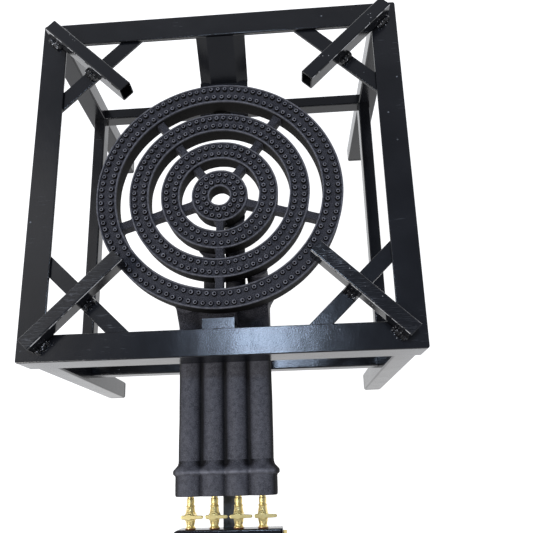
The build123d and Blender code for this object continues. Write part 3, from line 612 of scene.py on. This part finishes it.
for name, (outer, inner, ring_top, outer_count, inner_count) in ring_sizes.items():
    level = ring_top - plate_drop
    low_radius, high_radius, under = inner + cover_inset, outer - cover_inset, level - cover_thickness
    plate = rounded(
        [(low_radius, under), (high_radius, under), (high_radius, level), (low_radius, level)], 0.25)
    shells = [placed(lathe(plate, 180, loop=True), (0, burner_y, 0))]
    marks = [np.zeros((2, len(shells[0][0])))]
    for radius, count in ((outer - row_inset, outer_count), (inner + row_inset, inner_count)):
        row, row_marks = boss_row(radius, count, level)
        shells += row
        marks += row_marks
    boss_highlight_marks, boss_shade_marks = np.concatenate(marks, 1)
    make(f"ported_cover_{name}", shells, iron.material, "cast_iron", f"burner_cover_{name}",
         marks={"wear_and_painted_highlight": boss_highlight_marks, "depth": boss_shade_marks})


# Bridges: five short cast bars in each gap, which join every ring to the next and spread into
# both walls with a fillet.
bridge_section = rounded([(-4.5, -12), (4.5, -12), (4.5, 0), (-4.5, 0)], [2.0, 2.0, 1.1, 1.1])
bridge_shells = []
rings = list(ring_sizes.values())
for wide, narrow in zip(rings[:-1], rings[1:]):
    gap_inner, gap_outer, level = narrow[0] - 1.2, wide[1] + 1.2, narrow[2] - 1.1
    share = np.linspace(-1, 1, 15)
    flare = 1 + 0.75 * np.abs(share) ** 9
    for k in range(5):
        reach = (gap_inner + gap_outer) / 2 + share * (gap_outer - gap_inner) / 2
        rows = np.stack([np.broadcast_to(reach[:, None], (15, len(bridge_section))),
                         flare[:, None] * bridge_section[None, :, 0] * rng.uniform(0.94, 1.06),
                         level + bridge_section[None, :, 1] + 0.4 * (flare[:, None] - 1)], 2)
        angle = np.radians(54 + 72 * k)
        c, s = np.cos(angle), np.sin(angle)
        bridge_shells.append(placed(skin(rows), (0, burner_y, 0), (c, s, 0), (-s, c, 0)))
make("cast_bridges", bridge_shells, iron.material, "cast_iron", "burner_bridges")


# Mixer tubes: four tubes cast side by side with a fillet in each valley. Past the neck each one
# runs free to a round end and a riser under its own ring: outer, third, centre and second.
axis_z, tube_radius, pitch = 206.0, 13.5, 26.0
tube_places = (-1.5 * pitch, -0.5 * pitch, 0.5 * pitch, 1.5 * pitch)
free_radius = 12.9


def tube_cell(radius, valley, free_left, free_right):
    """One tube's share of the bank's section. The quarter next to a neighbour is the tube's arc
    down to the fillet that touches both tubes, then that fillet to the valley line; the fillet's
    centre is at height sqrt((radius + valley)^2 - (pitch / 2)^2). A free quarter is all arc."""
    half = pitch / 2
    height = np.sqrt((radius + valley) ** 2 - half ** 2)
    touch = np.arctan2(height, half)
    hollow = np.linspace(-np.pi / 2, touch - np.pi, 7)[:-1]
    arc = np.linspace(touch, np.pi / 2, 12)
    fillet = np.column_stack([half + valley * np.cos(hollow), height + valley * np.sin(hollow)])
    joined = np.concatenate([fillet, radius * np.column_stack([np.cos(arc), np.sin(arc)])])
    full = np.linspace(0, np.pi / 2, len(joined))
    alone = radius * np.column_stack([np.cos(full), np.sin(full)])
    right, left = (alone if free_right else joined), (alone if free_left else joined) * (-1, 1)
    upper = np.concatenate([right, left[::-1][1:]])
    return np.concatenate([upper, upper[::-1] * (1, -1)])


def bank_rows(index, path):
    """Rows of one tube's section along Y for (y, radius, valley) stations."""
    place, free = tube_places[index], (index == 0, index == 3)
    rows = []
    for y, radius, valley in path:
        cell = tube_cell(radius, valley, *free)
        rows.append(np.column_stack([place + cell[:, 0], np.full(len(cell), y), axis_z + cell[:, 1]]))
    return rows


def valley_shade(shells, crest):
    """Painted shade on the tubes' sides and in their valleys, and a painted highlight on their crests:
    the depth mark grows and the pale mark fades over 6 mm below the crest's height."""
    points = np.concatenate([p for p, _ in shells])
    below = np.clip((crest - 1 - np.abs(points[:, 2] - axis_z)) / 6, 0, 1)
    return {"depth": 0.24 * below, "wear_and_painted_highlight": 0.30 * (1 - below)}


feeds = {0: ("outer", 239.0), 1: ("third", 233.0), 2: ("centre", 230.0), 3: ("second", 236.0)}
for index, (ring_name, riser_top) in feeds.items():
    place = tube_places[index]
    outer, inner = ring_sizes[ring_name][:2]
    end = burner_y - np.sqrt(((outer + inner) / 2) ** 2 - place ** 2)
    path = [(y, tube_radius + 0.12 * np.sin(y / 19 + index) + 0.06 * np.sin(y / 7 + 2 * index), 2.2)
            for y in np.linspace(-320, -158, 28)]
    rows = bank_rows(index, path)
    round_cell = tube_cell(tube_radius, 3.2, index == 0, index == 3)
    bearing = np.arctan2(round_cell[:, 1], round_cell[:, 0])
    run = max(end, -146.0)
    tail = [(y, free_radius) for y in np.linspace(-148, run, 12)]
    tail += [(run + free_radius * np.sin(a), free_radius * np.cos(a))
             for a in np.radians((20, 40, 60, 75, 85, 90))]
    x, z = np.cos(bearing), np.sin(bearing)
    rows += [np.column_stack([place + r * x, np.full(len(x), y), axis_z + r * z]) for y, r in tail]
    riser = lathe([(0, 200), (13, 200), (12.6, 216), (11.2, 221), (11, riser_top - 4),
                   (14.5, riser_top + 0.5), (0, riser_top + 0.5)], 32)
    shells = [skin(np.array(rows)), placed(riser, (place, run, 0))]
    make(f"mixer_tube_cast_{index + 1}", shells, iron.material, "cast_iron", f"mixer_tube_{index + 1}",
         marks=valley_shade(shells, tube_radius))


# Neck: the casting swells from the bank of tubes into the front of the outer ring, with a block
# in the middle that takes the front bracket's bolt.
def bank_outline(radius, valley):
    """The whole bank's section in one loop: the four upper halves right to left, then below."""
    halves = []
    for index in (3, 2, 1, 0):
        cell = tube_cell(radius, valley, index == 0, index == 3)
        halves.append(cell[:len(cell) // 2] + (tube_places[index], 0))
    upper = np.concatenate(halves)
    return np.concatenate([upper, upper[::-1] * (1, -1)])


neck_fillet, fillet_end = 9.0, -144.0
neck_stations = np.concatenate([
    np.linspace(-184, -153.5, 12), fillet_end - neck_fillet * np.cos(np.linspace(0, np.pi / 2, 9)),
    [-141, -138]])
bank = bank_outline(tube_radius + 0.35, 3.6)
above = np.clip(bank[:, 1] / 6.0, 0, 1)
bank_half = 1.5 * pitch + tube_radius
neck_rows = []
for y in neck_stations:
    swell = np.clip((y + 178) / 36, 0, 1)
    rise = swell ** 2 * (3 - 2 * swell)
    into = np.clip(y - fillet_end + neck_fillet, 0, neck_fillet)
    spread = neck_fillet - np.sqrt(neck_fillet ** 2 - into ** 2)
    x = bank[:, 0] * (1 + spread * above / bank_half)
    z = axis_z + bank[:, 1] * (1 - 0.1 * swell)
    z = z + above * rise * (238.6 - z)
    neck_rows.append(np.column_stack([x, np.full(len(x), y), z]))
pad = slab(rounded([(-17, -173), (17, -173), (17, -145), (-17, -145)], 1.5), 212, 238.5, 1.4)
make("cast_neck", [skin(np.array(neck_rows)), pad], iron.material, "cast_iron", "burner_neck")


# Bell mouths: the front of the casting opens into four air inlets behind one raised lip, with a
# pad below for the strap.
bell_stations = [  # distance along Y, radius, fillet of the valleys
    (-318, 13.5, 2.2), (-321, 13.7, 2.2), (-323.5, 14.6, 2.0), (-326, 16.8, 1.6), (-328, 18.7, 1.5),
    (-329.4, 19.4, 1.5), (-331, 19.5, 1.5), (-332.6, 19.2, 1.5), (-333.5, 18.2, 1.5), (-334.3, 17.1, 1.5),
    (-336, 16.75, 1.6), (-343, 16.8, 1.6), (-350, 16.75, 1.6), (-354.6, 16.6, 1.6), (-355.7, 16.1, 1.8),
    (-356, 15.4, 2.0)]
bell_shells = []
for index, place in enumerate(tube_places):
    rows = bank_rows(index, bell_stations)
    last = rows[-1]
    bearing = np.arctan2(last[:, 2] - axis_z, last[:, 0] - place)
    for y, radius in ((-356, 12.3), (-355.4, 11.6), (-350, 11.1), (-335, 10.2), (-318, 9.5)):
        rows.append(np.column_stack([place + radius * np.cos(bearing), np.full(len(bearing), y),
                                     axis_z + radius * np.sin(bearing)]))
    bell_shells.append(skin(np.array(rows), loop=True))
bell_shells.append(slab(rounded([(-6.5, -356), (9.5, -356), (9.5, -334), (-6.5, -334)], 1.5), 189, 197, 0.8))
bell_marks = valley_shade(bell_shells, 16.8)
bell_points = np.concatenate([p for p, _ in bell_shells])
# A painted highlight along the lip, only near the crests where the painted shade is slight.
bell_marks["wear_and_painted_highlight"] += 0.6 * np.exp(-((bell_points[:, 1] + 331) / 1.4) ** 2) * (bell_marks["depth"] < 0.1)
make("cast_bell_mouths", bell_shells, iron.material, "cast_iron", "bell_mouth_block", marks=bell_marks)


# Burner brackets and bolts: bent 3 mm strip, enamelled with the stand. The rear one slopes down
# from the back flange with its sides folded down; zinc-plated hexagon bolts go into the iron.
bracket_paint = enamel("bracket_enamel", 0.25)
for node in ("rear_burner_bracket", "front_burner_bracket"):
    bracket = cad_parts[node]
    for place in bracket.material_slots:
        place.material = bracket_paint
zinc = Finish("zinc_plated_steel", (0.55, 0.57, 0.60), 0.35, metallic=1.0)
zinc_cloud = zinc.noise(160.0)
zinc.feed("Base Color", zinc.tint(zinc_cloud, (0.42, 0.44, 0.47), (0.62, 0.64, 0.67)))
zinc.feed("Roughness", 0.26 + 0.25 * zinc_cloud)
zinc.relief(zinc.noise(900.0, 2.0), 0.00002)


def hexagon_bolt():
    """A bolt standing head down on its seat: chamfered hexagon head, then a plain shank."""
    angle = np.radians(np.arange(0, 360, 60))
    across = 5.0 / np.cos(np.radians(30))
    head = slab(rounded(across * np.column_stack([np.cos(angle), np.sin(angle)]), 0.5, 4), -4, 0, 0.5)
    crown = lathe([(0, -4.0), (4.3, -4.0), (4.8, -3.6), (4.8, -1.0), (0, -1.0)], 36)
    shank = lathe([(0, -0.5), (3, -0.5), (3, 12.4), (2.6, 12.8), (0, 12.8)], 32)
    return [head, crown, shank]


rear_seat, front_seat = (0, lug_y, 222), (0, -176, 230)
rear = [placed(s, rear_seat) for s in hexagon_bolt()]
make("rear_hexagon_bolt", rear, zinc.material, "zinc_steel", "rear_burner_bolt")
front = [placed(s, front_seat, (1, 0, 0), (0, 0, -1), (0, 1, 0)) for s in hexagon_bolt()]
make("front_hexagon_bolt", front, zinc.material, "zinc_steel", "front_burner_bolt")


# Taps: brass plug cocks turned from bar. A ring is cut round the neck, the body swells to the
# upright barrel that holds the taper plug, and the tail screws into the rail on thread sealant.
brass = Finish("pale_brass", (0.86, 0.72, 0.36), 0.24, metallic=1.0)
brass_cloud = brass.noise(130.0, 4.0)
brass_lines = brass.noise(500.0, 2.0, (0.2, 8, 0.2))
tarnish = brass.noise(240.0, 5.0, shift=3.0).band(0.54, 0.72)
brass_base = brass.tint(brass_cloud, (0.86, 0.66, 0.25), (0.93, 0.80, 0.40))
brass.feed("Base Color", brass.tint(tarnish * 0.4, brass_base, (0.55, 0.36, 0.12)))
brass.feed("Roughness", 0.32 + 0.12 * brass_cloud + 0.12 * tarnish)
brass.relief(brass_lines, 0.0000012)
brass.relief(brass.noise(420.0, 1.0), 0.000004)
sealant = Finish("thread_sealant", (0.20, 0.055, 0.03), 0.5)
sealant.feed("Roughness", 0.4 + 0.2 * sealant.noise(500.0))
sealant.relief(sealant.noise(900.0, 3.0), 0.0003)
outlet_y, plug_y, rail_back = -358, -377.0, -390.0
body_profile = [  # radius, distance in front of the outlet
    (1.0, 0.0), (3.4, 0.0), (4.0, 0.5), (4.1, 1.2), (4.1, 5.4), (3.75, 5.8), (3.75, 6.5), (4.15, 6.9),
    (4.15, 7.6), (4.85, 8.0), (4.9, 8.6), (4.6, 9.1), (4.35, 9.3), (4.5, 11.0), (5.0, 13.6), (5.3, 15.6),
    (5.35, 18.0),
    (5.3, 22.0), (5.05, 24.4), (4.5, 26.6), (4.15, 28.0), (4.3, 29.0), (4.85, 29.8), (5.3, 30.4), (5.3, 31.6),
    (4.9, 32.0), (4.0, 32.0), (4.0, 33.8), (1.0, 33.8)]
for index, place in enumerate(tube_places):
    flow = placed(lathe(body_profile, 40, loop=True), (place, outlet_y, axis_z),
                  (1, 0, 0), (0, 0, 1), (0, -1, 0))
    barrel = lathe([(3.4, 213.5), (5.1, 213.5), (5.55, 213.0), (5.6, 212.2), (5.6, 198.2), (5.3, 197.5),
                    (4.1, 197.5), (4.1, 201.0), (3.2, 203.0)], 40, loop=True)
    stake = lathe([(0, 0), (1.5, 0), (1.7, 0.4), (1.3, 0.75), (0, 0.8)], 20)
    stake = placed(stake, (place - 1.2, -369.2, 210.1))
    make(f"turned_tap_body_{index + 1}", [flow, placed(barrel, (place, plug_y, 0)), stake], brass.material,
         "brass", f"tap_body_{index + 1}")
seal_ring = lathe([(4.1, 0), (5.3, 0.1), (5.7, 0.6), (5.5, 1.1), (5.0, 1.3), (4.1, 1.3)], 32, loop=True)
seals = [placed(seal_ring, (place, rail_back + 1.25, axis_z), (1, 0, 0), (0, 0, 1), (0, -1, 0))
         for place in tube_places]
make("thread_sealant_rings", seals, sealant.material, "brass")


# Plugs and levers: the taper plug turns in the barrel, and a flat brass lever is peened on its
# square end. The long arm points to the right when shut and along the pipe when open.
def lever_shell():
    """A lever from above: a hub circle drawn out to a long and a short arm. Its half width at a
    distance along the arm falls smoothly from the hub's to the tip's; the top is crowned."""
    along = np.concatenate([
        [-8.6], -8.6 + 2.2 * (1 - np.cos(np.linspace(0.35, 1.57, 5))), np.linspace(-5.6, 13.4, 26),
        15.5 - 1.7 * (1 - np.cos(np.linspace(1.4, 0.35, 5))), [15.5]])
    tail = np.sqrt(np.clip(1 - ((along + 6.4) / 2.2) ** 2, 0, 1)) * 2.2
    tip = np.sqrt(np.clip(1 - ((along - 13.8) / 1.7) ** 2, 0, 1)) * 1.7
    arm = np.interp(along, [-6.4, -3.4, 0, 3.6, 13.8], [2.2, 2.3, 2.5, 2.1, 1.7])
    hub = np.sqrt(np.clip(3.6 ** 2 - along ** 2, 0, None))
    half = np.where(along < -6.4, tail, np.where(along > 13.8, tip, np.maximum(arm, hub)))
    half = np.maximum(half, 0.25)
    section = rounded([(-1, 0), (1, 0), (1, 1), (-1, 1)], 0.34, 5)
    crown = 0.25 + 0.75 * np.clip(half / 1.6, 0, 1) ** 0.5
    rows = np.stack([np.broadcast_to(along[:, None], (len(along), len(section))),
                     half[:, None] * section[None, :, 0],
                     214.2 + 1.5 + 3.0 * (section[None, :, 1] - 0.5) * crown[:, None]], 2)
    return skin(rows)


for index, place in enumerate(tube_places):
    body = f"tap_handle_{index + 1}"
    plug = lathe([(0, 201.05), (2.65, 201.05), (3.2, 213.3), (3.0, 213.5), (2.0, 213.5), (2.0, 217.1),
                  (0, 217.1)], 32)
    rivet = lathe([(0, 216.9), (1.9, 216.9), (1.8, 217.05), (1.2, 217.19), (0, 217.2)], 20)
    make(f"taper_plug_{index + 1}", [placed(s, (place, plug_y, 0)) for s in (plug, rivet)], brass.material,
         "brass", f"tap_plug_{index + 1}", body=body)
    make(f"brass_lever_{index + 1}", [placed(lever_shell(), (place, plug_y, 0))], brass.material,
         "brass", f"tap_lever_{index + 1}", body=body)


# Under the plugs: a domed brass cap screws into each barrel and holds a steel spring washer
# against the plug, so that the lever stays where it is turned.
caps, washers = [], []
for place in tube_places:
    cap = lathe([(0, 195.9), (2.6, 196.0), (4.4, 196.2), (5.0, 196.8), (5.0, 197.45), (3.9, 197.5),
                 (3.9, 199.4), (0, 199.4)], 36)
    caps.append(placed(cap, (place, plug_y, 0)))
    ring = lathe(rounded([(1.3, 199.75), (2.5, 199.75), (2.5, 200.95), (1.3, 200.95)], 0.2), 28, loop=True)
    washers.append(placed(ring, (place, plug_y, 0)))
make("barrel_caps", caps, brass.material, "brass", "tap_bottom_caps")
spring = Finish("spring_steel", (0.20, 0.20, 0.21), 0.3, metallic=1.0)
spring.feed("Roughness", 0.25 + 0.2 * spring.noise(400.0))
make("spring_washers", washers, spring.material, "spring_steel", "tap_spring_washers")


# Jets: small turned brass injectors screwed into the tap outlets, pointing back into the bell
# mouths.
jet_profile = [(0.5, 0), (3.4, 0), (3.4, 5.4), (3.0, 6.0), (1.9, 12.2), (1.6, 13.0), (0.5, 13.0), (0.5, 6)]
jet = lathe(jet_profile, 28, loop=True)
jets = [placed(jet, (place, outlet_y, axis_z), (1, 0, 0), (0, 0, -1), (0, 1, 0)) for place in tube_places]
make("brass_jets", jets, brass.material, "brass", "gas_jets")


# Gas rail: a closed 25 mm square tube, rounded over at the left end and cut square at the right,
# enamelled black. A threaded brass nipple with a hexagon collar screws into the right end.
rail_left, rail_right, rail_front = -58, 60, -415
rail_low, rail_high = 189, 214
rail_middle, rail_axis = (rail_front + rail_back) / 2, (rail_low + rail_high) / 2
rail_outline = rounded([(rail_left, rail_front), (rail_right, rail_front), (rail_right, rail_back),
                        (rail_left, rail_back)], [8, 0.8, 0.8, 8], 8)
rail_paint = enamel("rail_enamel", 0.1)
rail_tube = slab(rail_outline, rail_low, rail_high, 2.0, 6)
make("gas_rail_tube", [rail_tube], rail_paint, "black_paint", "gas_rail")


def threaded_stub(radius, depth, pitch_length, start, length, bore):
    """A thread about Z: at angle a and height z the radius is less by depth times a triangle wave
    of z / pitch - a / 2 pi, so the groove climbs one pitch in a turn; it fades at both ends."""
    turn = np.linspace(0, 2 * np.pi, 40, endpoint=False)
    height = np.linspace(0, length, 61)
    phase = height[:, None] / pitch_length - turn[None, :] / (2 * np.pi)
    wave = 2 * np.abs(phase - np.floor(phase) - 0.5)
    fade = np.clip(np.minimum(height, length - height) / 1.0, 0, 1)[:, None]
    size = radius - depth * (1 - (1 - wave) * fade)
    x, y = np.cos(turn), np.sin(turn)
    rows = np.stack([size * x, size * y, np.broadcast_to(start + height[:, None], size.shape)], 2)
    inner = np.stack([[bore * x, bore * y, np.full(40, z)] for z in (start + length, start)])
    return skin(np.concatenate([rows, inner.transpose(0, 2, 1)]), loop=True)


angle = np.radians(np.arange(0, 360, 60))
collar_corners = 8.5 / np.cos(np.radians(30)) * np.column_stack([np.cos(angle), np.sin(angle)])
collar = slab(rounded(collar_corners, 0.8, 4), 0, 4, 0.6)
stub = threaded_stub(6.58, 0.55, 1.34, 3.9, 9.1, 3.2)
spigot = lathe([(3, -2), (6.4, -2), (6.4, 0.5), (3, 0.5)], 32, loop=True)
nipple = [placed(s, (rail_right, rail_middle, rail_axis), (0, 1, 0), (0, 0, 1), (1, 0, 0))
          for s in (collar, stub, spigot)]
make("threaded_brass_nipple", nipple, brass.material, "brass", "gas_inlet_nipple")


# Strap: a flat bar screwed under the casting's pad and under the rail, which holds the two
# together; its zinc-plated screws have low round heads.
strap_left, strap_right, strap_front, strap_back, strap_low = -6, 9, -412.5, -334, 186
strap_outline = rounded([(strap_left, strap_front), (strap_right, strap_front), (strap_right, strap_back),
                         (strap_left, strap_back)], 0.8, 4)
strap_paint = Finish("blue_grey_strap_paint", (0.06, 0.068, 0.08), 0.35)
strap_cloud = strap_paint.noise(60.0, 5.0)
strap_mix = strap_paint.tint(strap_cloud.band(0.35, 0.65), (0.060, 0.068, 0.082), (0.12, 0.13, 0.15))
strap_paint.feed("Base Color", strap_mix)
strap_paint.feed("Roughness", 0.28 + 0.2 * strap_cloud)
strap_paint.relief(strap_paint.noise(500.0, 2.0), 0.00003)
strap_bar = slab(strap_outline, strap_low, rail_low, 0.5)
make("rail_strap_bar", [strap_bar], strap_paint.material, "black_paint", "rail_strap")
screw_shells = []
for row, grip in ((-346.0, 7.0), (rail_middle, 5.0)):
    head = lathe([(0, 183.5), (2.4, 183.5), (4.0, 184.1), (4.5, 185.0), (4.5, strap_low), (0, strap_low)], 32)
    shank = lathe([(0, strap_low - 0.1), (2.5, strap_low - 0.1), (2.5, strap_low + grip),
                   (0, strap_low + grip)], 24)
    screw_shells += [placed(s, ((strap_left + strap_right) / 2, row, 0)) for s in (head, shank)]
make("strap_pan_screws", screw_shells, zinc.material, "zinc_steel", "strap_screws")
